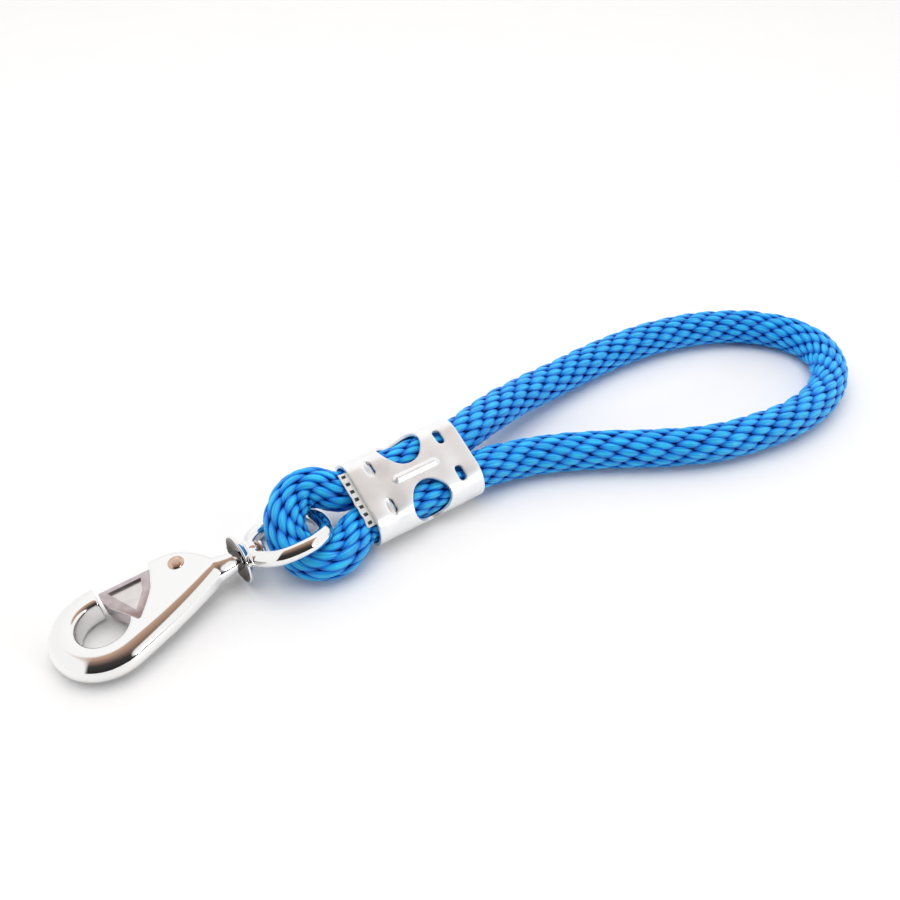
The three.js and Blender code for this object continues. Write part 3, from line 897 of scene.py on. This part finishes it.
def make_gate():
    px, py = PIVOT[0], PIVOT[1]
    gate = new_piece("snap_gate", *prism(gate_outline(px, py), -GATE_HALF, GATE_HALF))
    rounded(gate, 0.35, 3)
    recess = mirrored([(35.0, 8.0), (25.6, 8.0), (26.6, 3.6), (30.2, -1.8)])
    for low, high in ((RECESS_HALF, 4), (-4, -RECESS_HALF)):
        boolean(gate, new_piece("recess", *prism(recess, low, high)))
    for outline in spring_hollow(px, py):
        boolean(gate, new_piece("hollow", *prism(outline, -SPRING_ROOM, SPRING_ROOM)))
    boolean(gate, pin_hole_tool())
    # The recess floors get a lighter copy of the gate's plating: painted glare, standing in for bright
    # reflection there.
    floors = [
        abs(abs(face.center.z) - RECESS_HALF) < 0.03 and abs(face.normal.z) > 0.9
        for face in gate.data.polygons]
    creased(seat(gate, SNAP), 30)
    gate.data.materials.append(gate_plating("gate_plating", (0.50, 0.44, 0.46), (0.68, 0.61, 0.63)))
    # Second slot: the same plating made lighter, a painted reflection glare for the recess floors.
    gate.data.materials.append(
        gate_plating("gate_recess_painted_glare", (0.78, 0.77, 0.77), (0.92, 0.91, 0.91)))
    for face, floor in zip(gate.data.polygons, floors):
        face.material_index = int(floor)
    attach(gate, "gate_arm")
    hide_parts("gate")


def make_pin():
    pin = new_piece("gate_rivet", *lathe([
        (0, -4.62), (1.2, -4.58), (1.9, -4.45), (2.2, -4.25), (2.28, -4.05), (1.5, -4.05), (1.5, 4.05),
        (2.28, 4.05), (2.2, 4.25), (1.9, 4.45), (1.2, 4.58), (0, 4.62)], 64, "Z"))
    pin.data.transform(Matrix.Translation((PIVOT[0], PIVOT[1], 0)))
    creased(seat(pin, SNAP), 50)
    pin.data.materials.append(pin_steel())
    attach(pin, "hook")
    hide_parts("gate_pin")


SPRING_TURNS = 3
SPRING_PITCH = 0.7
SPRING_RADIUS = 2.45
SPRING_LEG = 3.2
SPRING_WIRE = 0.3         # radius
POINTS_PER_TURN = 12


def make_spring():
    px, py = PIVOT[0], PIVOT[1]
    bottom = -SPRING_TURNS * SPRING_PITCH / 2
    points = [(px + SPRING_RADIUS, py - SPRING_LEG, bottom)]
    for i in range(SPRING_TURNS * POINTS_PER_TURN + 1):
        a = 2 * math.pi * i / POINTS_PER_TURN
        height = bottom + SPRING_PITCH * i / POINTS_PER_TURN
        points.append((px + SPRING_RADIUS * math.cos(a), py + SPRING_RADIUS * math.sin(a), height))
    points.append((px + SPRING_RADIUS, py + SPRING_LEG, -bottom))
    wire = tube(spaced(catmull(points, 6), 0.25)[0], SPRING_WIRE, 12)
    spring = new_piece("gate_torsion_spring", *wire)
    seat(spring, SNAP)
    spring.data.materials.append(spring_wire())
    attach(spring, "hook")
    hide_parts("gate_spring")


# ---------------------------------------------------------------- clamp and label

CLAMP_HALF_LENGTH = 18.5
CLAMP_REACH = 5.9         # half of the flat web
CLAMP_ROUND = 7.6         # outer radius of the round sides
CLAMP_SHEET = 0.95        # thickness
CLAMP_GRID = 0.55
SEAM_LOW, SEAM_HIGH = -37.68, 32.88       # v of its two edges, which come together underneath
SLOT_X, SLOT_V = 12.2, 6.65               # the middles of the four slots
SLOT_ROUND, SLOT_REACH = 1.3, 1.3         # their end radius, and half the straight between
HALF_MOON_CUT = 0.25
WINDOWS = [(0.3, -1, 6.6, 37), (0.0, 1, 6.9, 36)]   # x, side, radius, degrees from the top
RIB_REACH, RIB_WIDTH, RIB_HEIGHT = 6.6, 1.35, 0.85
DENT_DEPTH = 0.22                         # round each slot
TONGUE_LENGTH, TONGUE_WIDTH, TONGUE_DEPTH = 1.45, 2.75, 1.1


def around(x, v, depth, reach=CLAMP_REACH, radius=CLAMP_ROUND):
    """A point of the stadium: v runs round it from the top's middle, depth is outwards."""
    side = 1 if v >= 0 else -1
    v = abs(v)
    if v <= reach:
        return (x, side * v, radius + depth)
    turn = (v - reach) / radius
    if turn <= math.pi:
        out = radius + depth
        return (x, side * (reach + out * math.sin(turn)), out * math.cos(turn))
    return (x, side * (reach - (v - reach - math.pi * radius)), -radius - depth)


def window_edge(x0, side, radius, degrees, steps=72):
    """A hole that is round as seen from above its side of the clamp, unrolled onto the sheet."""
    tilt = math.radians(degrees)
    bend = CLAMP_ROUND * math.sin(tilt)
    edge = []
    for k in range(steps):
        a = 2 * math.pi * k / steps
        across = radius * math.sin(a)
        if across > -bend:
            v = CLAMP_REACH + CLAMP_ROUND * (tilt + math.asin(across / CLAMP_ROUND))
        else:
            v = CLAMP_REACH + (across + bend) / math.cos(tilt)
        edge.append((x0 + radius * math.cos(a), side * v))
    return edge


def slot_edge(x0, v0, half_moon):
    """An oval slot, long across the clamp, or only its half away from the eye."""
    edge = arc((x0, v0 + SLOT_REACH), SLOT_ROUND, 0, math.pi, 16)
    edge += arc((x0, v0 - SLOT_REACH), SLOT_ROUND, math.pi, 2 * math.pi, 16)
    if half_moon:
        edge = [(max(x, x0 + HALF_MOON_CUT), v) for x, v in edge]
        edge = [p for k, p in enumerate(edge) if p != edge[k - 1]]
    return edge


def inside(edge, x, v):
    """Whether a point is inside a closed edge, by counting crossings."""
    found = False
    for (x1, v1), (x2, v2) in zip(edge, edge[1:] + edge[:1]):
        if (v1 > v) != (v2 > v) and x < (x2 - x1) * (v - v1) / (v2 - v1) + x1:
            found = not found
    return found


def sheet_height(x, v):
    """How far the pressed sheet stands proud of, or under, the plain stadium."""
    beyond_rib = math.hypot(max(0.0, abs(x) - RIB_REACH), v)
    height = RIB_HEIGHT * max(0.0, 1 - (beyond_rib / RIB_WIDTH) ** 2) ** 1.4
    for side in (-1, 1):
        for end in (-1, 1):
            far = math.hypot((x - end * SLOT_X) / 3.0, (v - side * SLOT_V) / 4.0)
            height -= DENT_DEPTH * math.exp(-far * far)
        tongue_x, tongue_v = (x + SLOT_X) / TONGUE_LENGTH, (v - side * SLOT_V) / TONGUE_WIDTH
        if tongue_x < 0.2 and tongue_x ** 2 + tongue_v ** 2 < 1:
            dish = 1 - tongue_x ** 2 - tongue_v ** 2
            height -= TONGUE_DEPTH * dish * (0.55 + 0.45 * (1 + tongue_x))
    height += 0.05 * math.sin(0.55 * x + 0.35 * v) * math.cos(0.42 * v - 0.2 * x)
    return height


def clamp_edges():
    edges = [window_edge(*w) for w in WINDOWS]
    edges += [slot_edge(SLOT_X, side * SLOT_V, False) for side in (-1, 1)]
    edges += [slot_edge(-SLOT_X, side * SLOT_V, True) for side in (-1, 1)]
    return edges


def grid_points(edges):
    """An even grid over the sheet, left out near the rib and the holes."""
    xs = np.linspace(-CLAMP_HALF_LENGTH, CLAMP_HALF_LENGTH, int(2 * CLAMP_HALF_LENGTH / CLAMP_GRID))
    vs = np.linspace(SEAM_LOW, SEAM_HIGH, int((SEAM_HIGH - SEAM_LOW) / CLAMP_GRID))
    rim = np.array([p for edge in edges for p in edge])
    points = []
    for x in xs:
        for v in vs:
            on_rib = abs(x) < 8.6 and abs(v) < 1.6
            clear = np.hypot(rim[:, 0] - x, rim[:, 1] - v).min() > 0.3
            if not on_rib and clear and not any(inside(e, x, v) for e in edges):
                points.append((x, v))
    return points


def rib_points():
    """Closer points over the rib."""
    across = (-1.5, -1.2, -0.9, -0.6, -0.3, 0, 0.3, 0.6, 0.9, 1.2, 1.5)
    return [(x + 0.01, v) for x in np.linspace(-8.4, 8.4, 50) for v in across]


def tongue_points():
    """Closer points over the tongue pressed in beside each half-moon slot."""
    points = []
    for side in (-1, 1):
        for x in np.linspace(-1.4, 0.1, 7):
            for v in np.linspace(-2.6, 2.6, 14):
                if (x / TONGUE_LENGTH) ** 2 + (v / TONGUE_WIDTH) ** 2 < 1:
                    points.append((x - SLOT_X + 0.013, side * SLOT_V + v + 0.011))
    return points


def clamp_sheet():
    """The unrolled sheet as (x, v) points and triangles, with its holes left open."""
    edges = clamp_edges()
    points = grid_points(edges) + rib_points() + tongue_points()
    constraints = []
    for edge in edges:
        start = len(points)
        points.extend(edge)
        constraints.extend((start + k, start + (k + 1) % len(edge)) for k in range(len(edge)))
    flat, _, faces, *_ = delaunay_2d_cdt([Vector(p) for p in points], constraints, [], 0, 1e-5)
    kept = []
    for face in faces:
        x, v = (sum(flat[i][k] for i in face) / 3 for k in (0, 1))
        if not any(inside(e, x, v) for e in edges):
            kept.append(face)
    return flat, kept


def make_clamp():
    flat, faces = clamp_sheet()
    vertices = [around(x, v, sheet_height(x, v)) for x, v in flat]
    clamp = new_piece("pressed_clamp", vertices, faces)
    thickened(clamp, CLAMP_SHEET, -1)
    rounded(clamp, 0.14, 2, 50)
    creased(seat(clamp, CLAMP), 50)
    clamp.data.materials.append(plated_sheet())
    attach(clamp, "handle")
    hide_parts("rope_clamp")


LABEL_WIDTH = 10.0
LABEL_SHOWN = 2.7         # the width that stands out past the clamp
LABEL_REACH = 9.1         # half its length round the ropes
LABEL_TAPE = 0.25         # thickness
UNDER_CLAMP = 6.3         # radius that it follows
LABEL_COLUMNS, LABEL_ROWS = 40, 72


def make_label():
    """Woven tape between the clamp and the rope, its outer edge standing out past the clamp."""
    columns, rows = LABEL_COLUMNS, LABEL_ROWS
    left = -CLAMP_HALF_LENGTH - LABEL_SHOWN
    vertices, uvs = [], []
    for i in range(columns + 1):
        x = left + LABEL_WIDTH * i / columns
        for j in range(rows + 1):
            v = -LABEL_REACH + 2 * LABEL_REACH * j / rows
            free = max(0.0, -CLAMP_HALF_LENGTH - x) / LABEL_SHOWN
            wave = free * (0.16 * math.sin(v * 0.9) + 0.10 * math.sin(v * 2.1 + 1))
            edge = x + 0.05 * math.sin(v * 1.7)
            vertices.append(around(edge, v, -0.1 + wave, CLAMP_REACH, UNDER_CLAMP))
            uvs.append((i / columns, j / rows))
    faces = []
    for i in range(columns):
        for j in range(rows):
            a = i * (rows + 1) + j
            faces.append((a, a + rows + 1, a + rows + 2, a + 1))
    label = new_piece("woven_label", vertices, faces)
    corner = np.empty(len(label.data.loops), int)
    label.data.loops.foreach_get("vertex_index", corner)
    label.data.uv_layers.new(name="UVMap").data.foreach_set("uv", np.array(uvs)[corner].ravel())
    thickened(label, LABEL_TAPE, 0)
    seat(label, CLAMP)
    label.data.materials.append(label_tape())
    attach(label, "handle")
    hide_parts("label_tab")


# ---------------------------------------------------------------- floor and light


FLOOR_HALF = 3.0
FLOOR_TONES = [(0.3, (0.925, 0.925, 0.925)), (0.7, (0.935, 0.935, 0.935))]
CEILING = [
    (0.00, (0.85, 0.85, 0.86)), (0.10, (1.05, 1.05, 1.05)), (0.325, (1.05, 1.05, 1.05)),
    (0.345, (0.56, 0.38, 0.28)), (0.45, (0.42, 0.27, 0.19)), (0.58, (0.18, 0.125, 0.10)),
    (0.70, (0.05, 0.045, 0.045)), (0.97, (0.025, 0.022, 0.022)), (1.0, (0.02, 0.02, 0.02)),
]
LAMP_TINT = (0.95, 0.98, 1.0)


def make_floor():
    h = FLOOR_HALF
    floor = new_piece("floor", [(-h, -h, 0), (h, -h, 0), (h, h, 0), (-h, h, 0)], [(0, 1, 2, 3)])
    s = Shader("floor_paper", (0.93, 0.93, 0.93), roughness=0.55)
    s.link(s.ramp(s.noise(s.here, 40, 2.0), FLOOR_TONES), "Base Color")
    floor.data.materials.append(s.material)


def make_world():
    """A white studio whose ceiling has a brown and a dark stretch, white again at left and right."""
    world = bpy.data.worlds.new("studio")
    scene.world = world
    world.use_nodes = True
    tree = world.node_tree
    tree.nodes.clear()

    def node(kind, inputs=None, **settings):
        return add_node(tree, kind, inputs, **settings)

    def fade(value, start, end):
        limits = {"Value": value, "From Min": start, "From Max": end}
        return node("MapRange", limits, interpolation_type="SMOOTHSTEP").outputs[0]

    direction = node("TexCoord").outputs["Generated"]
    turned = node("Mapping", {"Vector": direction, "Rotation": (0, 0, -CAMERA_HEADING)}).outputs[0]
    x, y, z = node("SeparateXYZ", {"Vector": turned}).outputs
    over = node("Math", {0: z, 1: y}, operation="ARCTAN2").outputs[0]
    share = node("MapRange", {"Value": over, "From Min": 0.0, "From Max": math.pi}).outputs[0]
    band = node("ValToRGB", {"Fac": share})
    fill_ramp(band, CEILING)
    slant = node("Math", {0: x, 1: share}, operation="SUBTRACT").outputs[0]
    left, right = fade(x, -0.43, -0.53), fade(slant, -0.09, 0.02)
    edge = node("Math", {0: left, 1: right}, operation="MAXIMUM").outputs[0]
    mixed = node("MixRGB", {0: edge, 1: band.outputs[0], 2: (1.0, 1.0, 1.0, 1)}).outputs[0]
    light = node("Background", {"Color": mixed, "Strength": 1.0}).outputs[0]
    node("OutputWorld", {"Surface": light})


def make_lamp(name, place, target, size, power, mirrored_in_metal=True):
    data = bpy.data.lights.new(name, "AREA")
    data.shape = "DISK"
    data.size = size
    data.energy = power
    data.color = LAMP_TINT
    lamp = bpy.data.objects.new(name, data)
    lamp.location = place
    lamp.rotation_euler = (Vector(target) - Vector(place)).to_track_quat("-Z", "Y").to_euler()
    lamp.visible_glossy = mirrored_in_metal
    scene.collection.objects.link(lamp)


make_rope(ring_points())
make_swivel()
make_washer()
make_hook()
make_gate()
make_pin()
make_spring()
make_clamp()
make_label()
make_floor()
make_world()
make_lamp("soft_box", (0, 0.1, 1.5), (0.05, 0, 0), 1.5, 14, False)
make_lamp("window_glint", (0.48, -1.05, 0.36), (0, 0, 0), 0.12, 2.5)
scene.view_settings.view_transform = "Standard"
